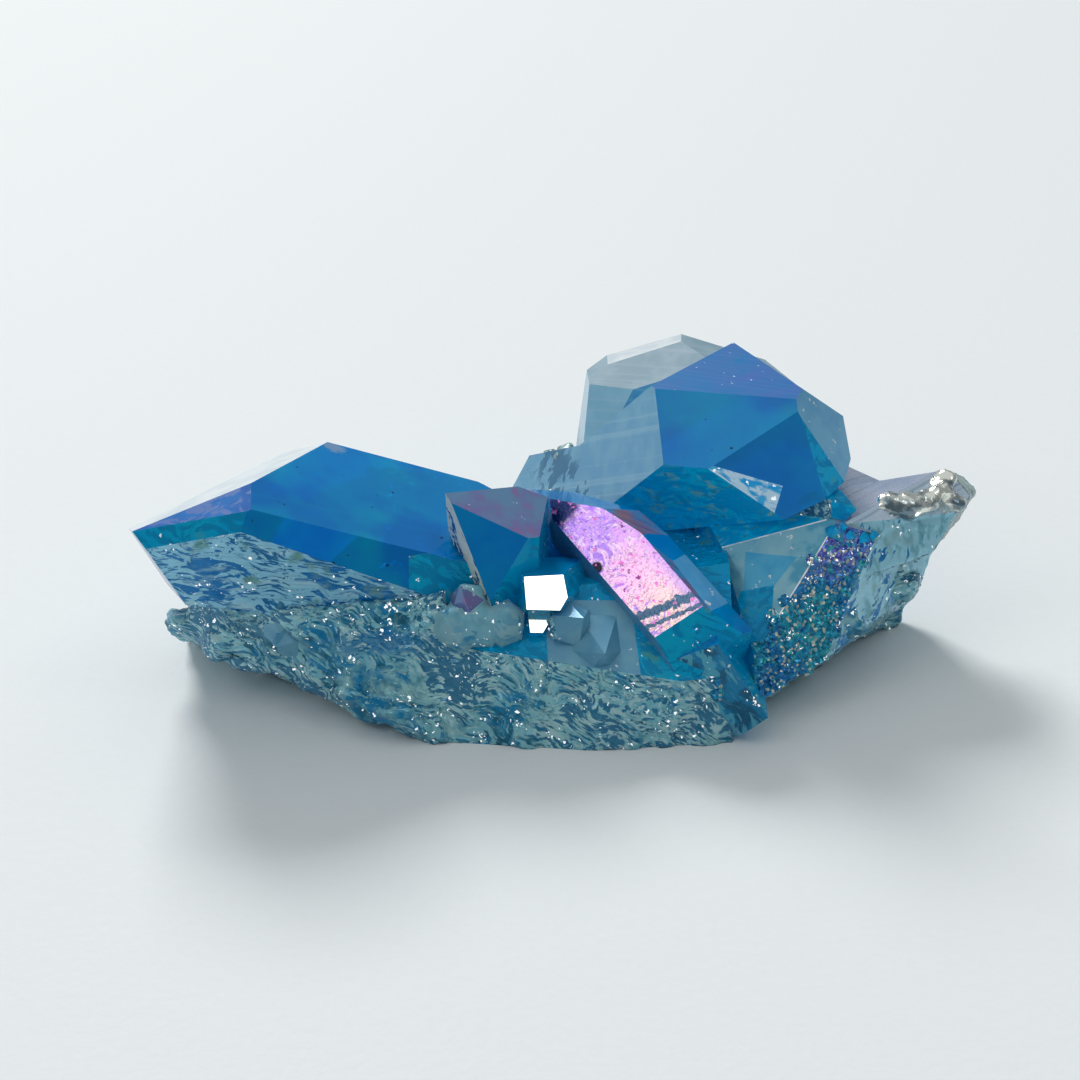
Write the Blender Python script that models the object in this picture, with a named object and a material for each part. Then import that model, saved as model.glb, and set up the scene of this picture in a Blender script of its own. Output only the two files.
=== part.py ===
"""Aura quartz cluster: flat-faced quartz crystals grown together on a rough broken base.

The whole cluster is one piece of quartz, so it is one solid. Each crystal is a blank cut by its flat
faces, and each stone is a faceted lump. All of them are joined by one Boolean, and the underside is
cut off flat where the cluster rests. Lengths below are millimetres and angles are degrees: +X runs
from the long left crystal to the right end, +Y goes to the back and +Z is up, with z = 0 at the table.
"""

import math
import random

import bmesh
import bpy
from mathutils import Matrix, Vector, noise

MM = 0.001
BOX_CENTRE = (3.476, 12.894)
NODE = "quartz_cluster"
PARTS_COLLECTION = "aura_quartz_cluster"
BLANKS_COLLECTION = "growth_blanks"

BLANK_SIDE = 160.0
QUARTZ_TIP_ANGLE = 38.2
TABLE_CUT_DEPTH = 30.0
TABLE_CUT = (200.0, 200.0, TABLE_CUT_DEPTH)
GROWTH_SEED = 5

# The stones sunk in the rough faces: how sunk, flat and swollen they are.
STONE_GRAIN = 1.3
STONE_SWELL = 0.45
STONE_SINK = 0.45
STONE_FLAT = 0.6
STONE_GAP = 1.1
SCATTER_TRIES = 30
STONE_FIELDS = (
    ("left_base", "front", 7, 3.0),
    ("left_base", "under_left", 6, 3.4),
    ("left_base", "back", 6, 3.2),
    ("middle_base", "front", 9, 3.2),
    ("middle_base", "front_right", 4, 2.6),
    ("middle_base", "back", 8, 4.0),
    ("middle_base", "under_left", 4, 3.0),
    ("right_base_crystal", "under", 5, 2.6),
    ("right_base_crystal", "side", 5, 1.9),
    ("right_base_crystal", "back", 6, 3.2),
)

# The sparkling druse: pointed crystals of this base radius, standing this much taller than wide.
DRUSE_COUNT = 60
DRUSE_GAP = 1.35
DRUSE_RADIUS = (0.6, 1.1)
DRUSE_HEIGHT = 1.2
DRUSE_LEAN = 0.45

# The rounded knobs on the right crystal: centre and radius.
KNOBS = (
    ((38.5, 5.6, 19.4), 1.5),
    ((40.5, 5.5, 19.3), 1.8),
    ((42.8, 6.6, 19.6), 1.7),
    ((44.6, 8.0, 20.0), 1.6),
    ((46.0, 7.6, 18.6), 1.5),
    ((45.0, 9.5, 20.6), 1.3),
)

# Small crystals: tip, azimuth and elevation of the axis, roll, width across the sides, length.
SMALL_POINTS = (
    ((-9.8, -9.6, 14.6), -120, 50, 10, 5.0, 7.0),
    ((-6.6, -10.0, 14.2), -95, 45, 35, 4.6, 7.0),
    ((-3.4, -9.4, 14.8), -80, 55, 5, 4.2, 6.0),
    ((-8.4, -7.6, 16.6), -130, 62, 20, 3.6, 6.0),
    ((4.6, -9.0, 13.4), -60, 40, 15, 4.4, 7.0),
    ((6.8, -11.6, 10.6), -80, 25, 40, 7.4, 8.0),
    ((-28.0, -8.4, 9.5), -115, 10, 0, 5.6, 6.0),
    ((34.2, 1.8, 20.6), -40, 12, 0, 3.4, 7.0),
)

# Broken lumps: centre, radius, flatness, the way outward, and a seed for the swelling.
STONES = (
    ((3.0, 29.6, 14.0), 1.5, 0.8, (-1, 0, 0.5), 21),
    ((1.0, 33.0, 11.6), 1.6, 0.8, (-1, 0, 0.5), 22),
    ((-0.4, 35.4, 9.0), 1.6, 0.8, (-1, 0, 0.5), 23),
    ((4.5, 27.0, 4.0), 6.0, 0.8, (-1, 0.5, 0), 24),
    ((10.0, 31.0, 8.0), 7.0, 0.8, (0, 1, 0), 25),
    ((24.0, 29.0, 8.0), 7.0, 0.8, (0.4, 1, 0), 26),
    ((31.0, 17.0, 9.0), 6.0, 0.8, (1, 0.3, 0), 27),
    ((-14.0, 9.0, 8.0), 7.0, 0.8, (-0.3, 1, 0), 28),
)

# Each crystal has a heart inside it, and faces given as (azimuth, elevation, reach): the way that the
# face looks, and how far it lies from the heart.
CRYSTALS = {
    "left_crystal": (
        (-20.0, -1.0, 19.0),
        {
            "top": (-9, 66, 3.3),
            "front": (-68, 19, 6.0),
            "upper_tip": (-145, 76, 10.0),
            "front_tip": (-97, 29, 11.6),
            "sliver": (141, 63, 9.6),
            "back_left": (146, 16, 16.9),
            "back_top": (78, 47, 11.1),
            "etched": (-87, -17, 6.7),
            "left_under": (-151, -26, 18.6),
            "front_under": (-114, -67, 9.6),
            "back": (84, -17, 15.9),
            "root": (6, -6, 24.0),
        },
    ),
    "slate_topped_crystal": (
        (-3.5, -1.0, 20.0),
        {
            "top": (-36, 61, 1.9),
            "front": (-82, 25, 3.0),
            "speckled": (-152, -10, 5.4),
            "left_back": (-177, -14, 6.3),
            "right": (-55, 4, 3.7),
            "right_limit": (-8, -1, 3.7),
            "back": (121, 15, 3.4),
            "right_back": (86, 16, 4.6),
            "root": (0, -90, 8.0),
        },
    ),
    "violet_crystal": (
        (13.0, -3.0, 11.0),
        {
            "violet": (-117, 40, 5.0),
            "right": (-18, 61, 6.1),
            "left": (-146, -14, 4.2),
            "left_under": (162, -61, 3.1),
            "right_under": (34, 14, 4.4),
            "red_tip": (-165, 4, 10.2),
            "copper": (10, 69, 7.2),
            "navy": (69, 67, 9.9),
            "under": (63, -40, 7.0),
            "end": (-99, 23, 6.2),
            "low_end": (-50, -25, 9.4),
        },
    ),
    "tall_crystal": (
        (20.0, 14.0, 22.0),
        {
            "left": (-159, 15, 9.2),
            "front": (-125, 39, 9.3),
            "lens": (-115, -27, 8.0),
            "top": (-179, 81, 9.2),
            "front_right": (-92, 4, 10.8),
            "back_left": (139, 46, 9.6),
            "top_back": (26, 52, 11.0),
            "chamfer": (-61, 13, 14.6),
            "right_slate": (-25, 29, 14.3),
            "right_back": (20, -8, 10.9),
            "right_under": (9, -60, 5.0),
            "back": (84, 6, 12.7),
            "root": (0, -90, 15.0),
        },
    ),
    "broken_end": (
        (6.0, 29.0, 8.0),
        {
            "left": (-159, 15, 5.3),
            "top": (111, 62, 6.7),
            "end": (111, 24, 8.9),
            "back": (90, 0, 9.6),
            "right": (20, 0, 6.0),
            "front": (-90, 0, 6.0),
            "root": (0, -90, 8.0),
        },
    ),
    "pale_back_crystal": (
        (14.0, 32.0, 22.0),
        {
            "pale_front": (-130, 65, 5.2),
            "left_slate": (-121, 22, 7.7),
            "crest": (154, 70, 4.8),
            "crest_left": (169, 49, 6.2),
            "crest_right": (18, 70, 6.6),
            "back": (90, 12, 3.5),
            "front": (-90, 10, 7.0),
            "right": (24, 0, 13.5),
            "left": (180, 6, 8.3),
            "root": (180, -73, 15.0),
        },
    ),
    "right_base_crystal": (
        (26.0, 2.0, 10.0),
        {
            "druse": (-64, 22, 6.6),
            "shelf": (-151, 62, 6.2),
            "silver": (-130, 50, 5.1),
            "left": (-165, 5, 5.6),
            "side": (-46, 8, 8.0),
            "right_top": (-18, 63, 11.0),
            "under": (-39, -33, 9.2),
            "under_right": (-43, -43, 8.9),
            "right_end": (-18, -12, 14.6),
            "back": (90, 0, 12.0),
            "bottom": (0, -90, 11.0),
        },
    ),
    "right_crystal": (
        (38.0, 8.0, 17.0),
        {
            "striated": (-62, 36, 3.6),
            "upper": (-102, 77, 3.5),
            "crest": (106, 49, 3.3),
            "end": (-1, 42, 8.4),
            "end_low": (-28, -20, 7.1),
            "under": (-45, -74, 4.8),
            "back": (96, -6, 5.6),
            "left": (180, 0, 5.0),
            "front_limit": (-64, 22, 3.8),
        },
    ),
    "lower_blade": (
        (19.0, -8.0, 6.0),
        {
            "front": (-107, -1, 3.9),
            "right": (0, 34, 3.0),
            "left_narrow": (-126, -21, 3.9),
            "left_under": (-152, -36, 3.8),
            "low_end": (-6, -44, 5.4),
            "step": (180, 58, 5.4),
            "top": (-30, 70, 7.1),
            "back": (80, 0, 6.0),
            "root": (0, -90, 7.0),
        },
    ),
    "mirror_crystal": (
        (0.5, -5.0, 14.0),
        {
            "mirror": (-67, 45, 2.1),
            "left": (-167, 7, 2.7),
            "right": (-26, -12, 2.7),
            "upper": (75, 79, 2.4),
            "upper_right": (-14, 26, 2.7),
            "low": (-90, -55, 1.9),
            "back": (90, 0, 6.0),
            "root": (0, -90, 6.0),
        },
    ),
    "lower_mirror_crystal": (
        (0.0, -5.8, 11.6),
        {
            "mirror": (-67, 45, 1.5),
            "left": (-170, 0, 1.5),
            "right": (-20, -22, 1.2),
            "upper": (90, 79, 1.5),
            "low": (-84, -40, 2.2),
            "back": (90, 0, 6.0),
            "root": (0, -90, 6.0),
        },
    ),
    "left_base": (
        (-22.0, 3.0, 9.0),
        {
            "front": (-111, 0, 11.0),
            "front_left": (-130, 0, 13.8),
            "front_right": (-90, 22, 11.0),
            "under_left": (-126, -50, 10.7),
            "left_end": (177, 19, 15.6),
            "top": (-135, 82, 5.4),
            "back": (99, 0, 11.0),
            "right_end": (0, 0, 12.0),
            "bottom": (0, -90, 10.0),
        },
    ),
    "middle_base": (
        (4.0, 4.0, 8.0),
        {
            "front": (-96, 20, 13.8),
            "front_right": (-84, 6, 17.0),
            "under_left": (-126, -50, 20.2),
            "top_front": (-90, 56, 8.6),
            "top": (125, 78, 4.5),
            "back": (100, -8, 24.0),
            "left_end": (158, 0, 15.0),
            "right_end": (0, 0, 16.5),
            "bottom": (0, -90, 9.0),
        },
    ),
}


def facing(azimuth, elevation):
    """The unit vector that looks along an azimuth, from +X towards +Y, and an elevation."""
    across = math.cos(math.radians(elevation))
    return Vector(
        (
            math.cos(math.radians(azimuth)) * across,
            math.sin(math.radians(azimuth)) * across,
            math.sin(math.radians(elevation)),
        )
    )


def cut_blank(heart, faces):
    """A block round the heart, cut off along every face."""
    bm = bmesh.new()
    bmesh.ops.create_cube(bm, size=BLANK_SIDE, matrix=Matrix.Translation(heart))
    for normal, reach in faces:
        cut = bmesh.ops.bisect_plane(
            bm,
            geom=bm.verts[:] + bm.edges[:] + bm.faces[:],
            dist=1e-4,
            plane_co=Vector(heart) + normal * reach,
            plane_no=normal,
            clear_outer=True,
        )
        rim = [item for item in cut["geom_cut"] if isinstance(item, bmesh.types.BMEdge)]
        if rim:
            bmesh.ops.edgeloop_fill(bm, edges=rim)
    bmesh.ops.recalc_face_normals(bm, faces=bm.faces[:])
    return bm


def crystal(heart, faces):
    """One large crystal, from its table of faces."""
    return cut_blank(heart, [(facing(az, el), reach) for az, el, reach in faces.values()])


def new_object(name, bm, collection, material=None):
    """An object in metres from a mesh in millimetres, with the origin under the middle of the box."""
    middle = Vector((*BOX_CENTRE, 0))
    bm.transform(Matrix.Scale(MM, 4) @ Matrix.Translation(-middle))
    mesh = bpy.data.meshes.new(name)
    bm.to_mesh(mesh)
    bm.free()
    obj = bpy.data.objects.new(name, mesh)
    if material:
        mesh.materials.append(material)
    collection.objects.link(obj)
    return obj


def new_collection(name):
    """An empty collection in the scene."""
    collection = bpy.data.collections.new(name)
    bpy.context.scene.collection.children.link(collection)
    return collection


def clear_scene():
    """Removes every object that the file starts with."""
    for obj in list(bpy.data.objects):
        bpy.data.objects.remove(obj, do_unlink=True)


def quartz_point(tip, azimuth, elevation, roll, width, length):
    """A small six-sided quartz crystal that ends in six tip faces at the point given."""
    axis = facing(azimuth, elevation)
    heart = Vector(tip) - axis * length
    across = axis.orthogonal().normalized()
    rise = math.radians(QUARTZ_TIP_ANGLE)
    faces = [(-axis, 0.0)]
    for k in range(6):
        side = Matrix.Rotation(math.radians(roll + 60 * k), 3, axis) @ across
        faces.append((side, width / 2))
        faces.append((side * math.cos(rise) + axis * math.sin(rise), length * math.sin(rise)))
    return cut_blank(heart, faces)


def rough_stone(centre, radius, flat, outward, seed):
    """A lump of broken quartz, flattened along the way outward from the body that it sits on."""
    bm = bmesh.new()
    bmesh.ops.create_icosphere(bm, subdivisions=2, radius=radius)
    shift = Vector((seed * 3.7, seed * 1.9, seed * 0.7))
    for vert in bm.verts:
        swell = noise.noise(vert.co / radius * STONE_GRAIN + shift)
        vert.co *= 1.0 + STONE_SWELL * swell
    turn = outward.to_track_quat("Z", "Y").to_matrix().to_4x4()
    bm.transform(Matrix.Translation(centre) @ turn @ Matrix.Diagonal((1.0, 1.0, flat, 1.0)))
    return bm


def place_on_face(bm, normal, rng):
    """A random point on the flat face of a crystal that looks along the normal."""
    face = max(bm.faces, key=lambda item: item.normal.dot(normal))
    corners = [vert.co for vert in face.verts]
    fans = list(zip(corners[1:-1], corners[2:]))
    areas = [(b - corners[0]).cross(c - corners[0]).length for b, c in fans]
    b, c = rng.choices(fans, weights=areas)[0]
    u, v = rng.random(), rng.random()
    if u + v > 1:
        u, v = 1 - u, 1 - v
    return corners[0] + (b - corners[0]) * u + (c - corners[0]) * v


def scatter(bm, normal, count, gap, rng):
    """Up to count random points on one face, none nearer to another than the gap."""
    points = []
    for _ in range(count * SCATTER_TRIES):
        point = place_on_face(bm, normal, rng)
        if all((point - other).length > gap for other in points):
            points.append(point)
        if len(points) == count:
            break
    return points


def stones_on(crystals, rng):
    """Half-sunk stones over the rough faces of the base."""
    made = []
    for name, face_name, count, radius in STONE_FIELDS:
        normal = facing(*CRYSTALS[name][1][face_name][:2])
        for point in scatter(crystals[name], normal, count, radius * STONE_GAP, rng):
            size = radius * rng.uniform(0.7, 1.15)
            centre = point - normal * size * STONE_SINK
            made.append(rough_stone(centre, size, STONE_FLAT, normal, rng.uniform(0, 100)))
    return made


def druse_on(crystals, rng):
    """Small pointed crystals standing on the druse face of the right base crystal."""
    normal = facing(*CRYSTALS["right_base_crystal"][1]["druse"][:2])
    made = []
    for point in scatter(crystals["right_base_crystal"], normal, DRUSE_COUNT, DRUSE_GAP, rng):
        size = rng.uniform(*DRUSE_RADIUS)
        height = size * DRUSE_HEIGHT
        lean = Vector((rng.uniform(-1, 1), rng.uniform(-1, 1), rng.uniform(-1, 1))) * DRUSE_LEAN
        turn = (normal + lean).to_track_quat("Z", "Y").to_matrix().to_4x4()
        bm = bmesh.new()
        bmesh.ops.create_cone(
            bm,
            cap_ends=True,
            segments=6,
            radius1=size,
            radius2=0.0,
            depth=height,
            matrix=Matrix.Translation(point + normal * height * 0.3) @ turn,
        )
        made.append(bm)
    return made


def knobs():
    """The rounded knobs that stand on the hollowed face of the right crystal."""
    made = []
    for index, (centre, radius) in enumerate(KNOBS):
        made.append(rough_stone(Vector(centre), radius, 0.8, Vector((0, -0.5, 1)), 11 + index))
    return made


def add_blank(name, bm, blanks):
    """A solid that the Boolean joins to the first crystal; it isn't rendered itself."""
    obj = new_object(name, bm, blanks)
    obj.hide_render = True
    obj.display_type = "WIRE"
    return obj


def boolean(obj, name, operation, **operand):
    """An exact Boolean modifier on the cluster."""
    modifier = obj.modifiers.new(name, "BOOLEAN")
    modifier.operation = operation
    modifier.solver = "EXACT"
    for key, value in operand.items():
        setattr(modifier, key, value)


def quartz_material():
    """Blue coated quartz: glassy and clear."""
    material = bpy.data.materials.new("aura_quartz")
    material.use_nodes = True
    shader = material.node_tree.nodes["Principled BSDF"]
    shader.inputs["Base Color"].default_value = (0.02, 0.24, 0.46, 1.0)
    shader.inputs["Roughness"].default_value = 0.08
    shader.inputs["Metallic"].default_value = 0.0
    shader.inputs["Transmission Weight"].default_value = 0.6
    return material


def main():
    clear_scene()
    rng = random.Random(GROWTH_SEED)
    parts = new_collection(PARTS_COLLECTION)
    blanks = new_collection(BLANKS_COLLECTION)
    crystals = {name: crystal(heart, faces) for name, (heart, faces) in CRYSTALS.items()}
    grown = stones_on(crystals, rng) + druse_on(crystals, rng) + knobs()
    grown += [quartz_point(*numbers) for numbers in SMALL_POINTS]
    grown += [rough_stone(Vector(at), size, flat, Vector(up), seed) for at, size, flat, up, seed in STONES]
    first, *others = crystals.items()
    cluster = new_object(NODE, first[1], parts, quartz_material())
    for name, bm in others:
        add_blank(name, bm, blanks)
    for index, bm in enumerate(grown):
        add_blank(f"growth_{index + 1}", bm, blanks)
    boolean(cluster, "grown_together", "UNION", operand_type="COLLECTION", collection=blanks)
    table = bmesh.new()
    below = Matrix.Translation((*BOX_CENTRE, -TABLE_CUT_DEPTH / 2))
    bmesh.ops.create_cube(table, size=1.0, matrix=below @ Matrix.Diagonal((*TABLE_CUT, 1.0)))
    cutter = add_blank("table_cut", table, new_collection("cutters"))
    boolean(cluster, "cut_flat", "DIFFERENCE", operand_type="OBJECT", object=cutter)


main()
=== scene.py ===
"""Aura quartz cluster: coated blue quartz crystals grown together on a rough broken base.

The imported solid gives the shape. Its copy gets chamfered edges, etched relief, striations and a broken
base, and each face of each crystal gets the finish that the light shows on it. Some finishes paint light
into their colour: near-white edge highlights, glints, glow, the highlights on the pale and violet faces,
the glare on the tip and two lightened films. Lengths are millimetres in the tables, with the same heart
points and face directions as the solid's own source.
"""

import logging
import math
from dataclasses import dataclass, field
from enum import Enum

import bmesh
import bpy
from mathutils import Matrix, Vector, noise


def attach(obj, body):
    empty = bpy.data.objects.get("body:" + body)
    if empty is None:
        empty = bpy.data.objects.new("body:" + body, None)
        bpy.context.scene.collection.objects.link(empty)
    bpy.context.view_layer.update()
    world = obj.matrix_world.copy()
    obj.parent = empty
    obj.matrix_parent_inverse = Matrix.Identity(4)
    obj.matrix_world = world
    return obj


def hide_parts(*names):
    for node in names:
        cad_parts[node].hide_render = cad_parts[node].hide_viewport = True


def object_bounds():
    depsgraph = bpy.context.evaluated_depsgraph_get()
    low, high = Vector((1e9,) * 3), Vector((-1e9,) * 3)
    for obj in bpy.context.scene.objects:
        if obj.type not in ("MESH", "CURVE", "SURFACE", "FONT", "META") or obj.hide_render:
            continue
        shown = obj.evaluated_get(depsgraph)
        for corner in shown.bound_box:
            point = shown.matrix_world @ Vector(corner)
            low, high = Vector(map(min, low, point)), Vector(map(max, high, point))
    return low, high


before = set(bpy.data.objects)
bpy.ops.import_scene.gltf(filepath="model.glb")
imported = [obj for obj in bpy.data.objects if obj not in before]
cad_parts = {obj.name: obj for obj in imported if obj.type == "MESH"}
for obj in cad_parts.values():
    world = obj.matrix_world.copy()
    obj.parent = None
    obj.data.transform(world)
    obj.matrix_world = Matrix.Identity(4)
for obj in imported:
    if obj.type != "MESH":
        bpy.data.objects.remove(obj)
CAD_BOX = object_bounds()

log = logging.getLogger("aura_quartz")

MM = 0.001
NODE = "quartz_cluster"
BOX_CENTRE = Vector((3.476, 12.894, 0.0))

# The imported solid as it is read, in millimetres and degrees.
WELD = 0.002
FLAT_ANGLE = 0.5
# How near a polygon lies to a facet's plane, and how near its normal is, as a cosine.
PLANE_GAP = 0.02
SAME_WAY = 0.9995
# Polygons this far outside a region may still be cut by its sides.
REGION_REACH = 25.0
CUT_GAP = 0.001
# The zone of small points on the druse face: their height over it, and the place along X.
DRUSE_HEIGHT = 2.0
DRUSE_SPAN = (18.0, 36.5)
# Edges shorter than this keep their corner.
SHORTEST_CHAMFER = 0.8
REFINE_ROUNDS = 9
LONG_SHARE = 1.35
# What lies lower than this rests on the table and stays flat.
REST_HEIGHT = 0.02
LOWEST_RELIEF = 0.01
# Without a seed the noise vectors start from the clock, and each run gives another relief.
NOISE_SEED = 7

QUARTZ_INDEX = 1.544
ABSORBED_TINT = (0.02, 0.5, 0.88, 1.0)
# The light that a glass with glow gives off from within: painted light, as the glass is no lamp.
GLOW_TINT = (0.0, 0.4, 0.85)
COAT_ROUGHNESS = 0.03
SENSOR_WIDTH = 36.0

Colour = tuple[float, float, float]
Point = tuple[float, float, float]


class Finish(Enum):
    """The finishes that the faces of the cluster show."""

    AURA = "aura_blue_glass"
    DEEP = "deep_blue_glass"
    TEAL = "teal_glass"
    LENS = "mottled_teal_glass"
    VEIL = "fracture_veil"
    VIOLET = "violet_film"
    TIP = "violet_blue_film"
    INDIGO = "indigo_film"
    SLATE = "slate_film"
    DARK_SLATE = "dark_slate_film"
    RIGHT_SLATE = "right_slate_film"
    PALE = "pale_film"
    BACK_PALE = "back_pale_film"
    BACK_SIDE = "back_side_film"
    PLUM = "plum_film"
    COPPER = "copper_film"
    LILAC = "striated_lilac"
    LOW_LILAC = "low_striated_lilac"
    SILVER = "silver_film"
    LOW_SILVER = "teal_silver_film"
    MIRROR = "gold_mirror"
    KNOB = "mirror_knob"
    BLADE = "torn_blade"
    ETCHED = "etched_silver"
    MATRIX = "rough_matrix"
    FLOW = "flow_etched"
    DRUSE = "sparkling_druse"
    STONE = "grey_green_stone"
    NUB = "grey_green_nub"
    PLATE = "grey_teal_plate"
    CRACKLED = "crackled_white"
    EDGE = "chipped_edge"
    GLINT = "bright_edge"


F = Finish

# Every crystal: its heart and its faces as (azimuth, elevation, reach, finish).
CRYSTALS: dict[str, tuple[Point, tuple[tuple[float, float, float, Finish], ...]]] = {
    "left_crystal": ((-20.0, -1.0, 19.0), (
        (-9, 66, 3.3, F.AURA), (-68, 19, 6.0, F.AURA), (-145, 76, 10.0, F.TIP),
        (-97, 29, 11.6, F.TEAL), (141, 63, 9.6, F.PALE), (146, 16, 16.9, F.SLATE),
        (78, 47, 11.1, F.AURA), (-87, -17, 6.7, F.ETCHED), (-151, -26, 18.6, F.PLUM),
        (-114, -67, 9.6, F.ETCHED), (84, -17, 15.9, F.AURA), (6, -6, 24.0, F.TEAL))),
    "slate_topped_crystal": ((-3.5, -1.0, 20.0), (
        (-36, 61, 1.9, F.PLUM), (-82, 25, 3.0, F.DEEP), (-152, -10, 5.4, F.CRACKLED),
        (-177, -14, 6.3, F.CRACKLED), (-55, 4, 3.7, F.TEAL), (-8, -1, 3.7, F.TEAL),
        (121, 15, 3.4, F.AURA), (86, 16, 4.6, F.AURA), (0, -90, 8.0, F.AURA))),
    "violet_crystal": ((13.0, -3.0, 11.0), (
        (-117, 40, 5.0, F.VIOLET), (-18, 61, 6.1, F.COPPER), (-146, -14, 4.2, F.DARK_SLATE),
        (162, -61, 3.1, F.TEAL), (34, 14, 4.4, F.AURA), (-165, 4, 10.2, F.COPPER),
        (10, 69, 7.2, F.COPPER), (69, 67, 9.9, F.DEEP), (63, -40, 7.0, F.AURA),
        (-99, 23, 6.2, F.TEAL), (-50, -25, 9.4, F.TEAL))),
    "tall_crystal": ((20.0, 14.0, 22.0), (
        (-159, 15, 9.2, F.SLATE), (-125, 39, 9.3, F.AURA), (-115, -27, 8.0, F.LENS),
        (-179, 81, 9.2, F.INDIGO), (-92, 4, 10.8, F.DEEP), (139, 46, 9.6, F.SLATE),
        (26, 52, 11.0, F.SLATE), (-61, 13, 14.6, F.TEAL), (-25, 29, 14.3, F.RIGHT_SLATE),
        (20, -8, 10.9, F.AURA), (9, -60, 5.0, F.LENS), (84, 6, 12.7, F.AURA),
        (0, -90, 15.0, F.AURA))),
    "broken_end": ((6.0, 29.0, 8.0), (
        (-159, 15, 5.3, F.SLATE), (111, 62, 6.7, F.SLATE), (111, 24, 8.9, F.STONE),
        (90, 0, 9.6, F.MATRIX), (20, 0, 6.0, F.MATRIX))),
    "pale_back_crystal": ((14.0, 32.0, 22.0), (
        (-130, 65, 5.2, F.BACK_PALE), (-121, 22, 7.7, F.BACK_SIDE), (154, 70, 4.8, F.PALE),
        (169, 49, 6.2, F.BACK_PALE), (18, 70, 6.6, F.BACK_PALE), (90, 12, 3.5, F.AURA),
        (-90, 10, 7.0, F.SLATE), (24, 0, 13.5, F.AURA), (180, 6, 8.3, F.SLATE),
        (180, -73, 15.0, F.AURA))),
    "right_base_crystal": ((26.0, 2.0, 10.0), (
        (-64, 22, 6.6, F.DRUSE), (-151, 62, 6.2, F.LENS), (-130, 50, 5.1, F.SILVER),
        (-165, 5, 5.6, F.TEAL), (-46, 8, 8.0, F.FLOW), (-18, 63, 11.0, F.LILAC),
        (-39, -33, 9.2, F.FLOW), (-43, -43, 8.9, F.MATRIX), (-18, -12, 14.6, F.FLOW),
        (90, 0, 12.0, F.TEAL), (0, -90, 11.0, F.MATRIX))),
    "right_crystal": ((38.0, 8.0, 17.0), (
        (-62, 36, 3.6, F.LOW_LILAC), (-102, 77, 3.5, F.LILAC), (106, 49, 3.3, F.PALE),
        (-1, 42, 8.4, F.STONE), (-28, -20, 7.1, F.STONE), (-45, -74, 4.8, F.STONE),
        (96, -6, 5.6, F.LILAC), (180, 0, 5.0, F.LILAC), (-64, 22, 3.8, F.FLOW))),
    "lower_blade": ((19.0, -8.0, 6.0), (
        (-107, -1, 3.9, F.BLADE), (0, 34, 3.0, F.TEAL), (-126, -21, 3.9, F.SLATE),
        (-152, -36, 3.8, F.TEAL), (-6, -44, 5.4, F.TEAL), (180, 58, 5.4, F.AURA),
        (-30, 70, 7.1, F.TEAL), (80, 0, 6.0, F.TEAL))),
    "mirror_crystal": ((0.5, -5.0, 14.0), (
        (-67, 45, 2.1, F.MIRROR), (-167, 7, 2.7, F.TEAL), (-26, -12, 2.7, F.TEAL),
        (75, 79, 2.4, F.AURA), (-14, 26, 2.7, F.TEAL), (-90, -55, 1.9, F.TEAL))),
    "lower_mirror_crystal": ((0.0, -5.8, 11.6), (
        (-67, 45, 1.5, F.MIRROR), (-170, 0, 1.5, F.TEAL), (-20, -22, 1.2, F.TEAL),
        (90, 79, 1.5, F.AURA), (-84, -40, 2.2, F.TEAL))),
    "middle_base": ((4.0, 4.0, 8.0), ((-90, 56, 8.6, F.TEAL), (125, 78, 4.5, F.TEAL))),
}


@dataclass(frozen=True)
class Region:
    """A part of one facet with a finish of its own, inside a row of corners."""

    crystal: str
    place: Point
    corners: tuple[Point, ...]
    finish: Finish


# Places where a break or a change of film crosses a facet: the crystal, a direction of the facet as
# (azimuth, elevation, reach), the corners of the part, and its finish.
REGIONS: tuple[Region, ...] = (
    Region("left_crystal", (-68, 19, 6.0),
           ((-13.8, -5.4, 18.8), (-13.9, -8.5, 10.5), (4.0, -5.0, 8.0), (4.0, 2.0, 19.3)), F.TEAL),
    Region("violet_crystal", (-18, 61, 6.1),
           ((10.7, -1.7, 19.4), (13.6, 1.2, 18.4), (15.9, -0.9, 16.8), (14.1, -3.6, 17.3)), F.DEEP),
    Region("violet_crystal", (-18, 61, 6.1),
           ((14.1, -3.6, 17.3), (15.9, -0.9, 16.8), (20.2, -6.1, 13.7), (17.8, -9.1, 14.2)), F.RIGHT_SLATE),
    Region("violet_crystal", (-18, 61, 6.1),
           ((17.8, -9.1, 14.2), (20.2, -6.1, 13.7), (25.0, -12.0, 10.0), (19.5, -14.5, 12.0)), F.AURA),
    Region("violet_crystal", (-18, 61, 6.1),
           ((15.9, -0.9, 16.8), (20.0, 4.0, 14.0), (26.0, -6.0, 11.0), (20.2, -6.1, 13.7)), F.AURA),
    Region("right_base_crystal", (-130, 50, 5.1),
           ((22.5, 2.5, 15.1), (27.8, -0.4, 16.0), (24.9, -2.5, 13.1), (22.0, -1.7, 12.2)), F.LOW_SILVER),
    Region("right_base_crystal", (-130, 50, 5.1),
           ((21.6, -1.5, 12.6), (25.4, -2.0, 13.3), (25.0, -9.0, 6.0), (18.0, -9.0, 6.0)), F.TEAL),
    Region("middle_base", (-90, 56, 8.6),
           ((0.5, -4.2, 12.8), (9.7, -4.2, 12.8), (10.8, -13.1, 6.8), (1.0, -13.1, 6.8)), F.PLATE),
    Region("tall_crystal", (-92, 4, 10.8),
           ((17.0, 3.5, 25.6), (26.2, 3.0, 22.9), (25.3, 2.8, 19.0), (19.0, 3.1, 21.1)), F.VEIL),
)

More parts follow.
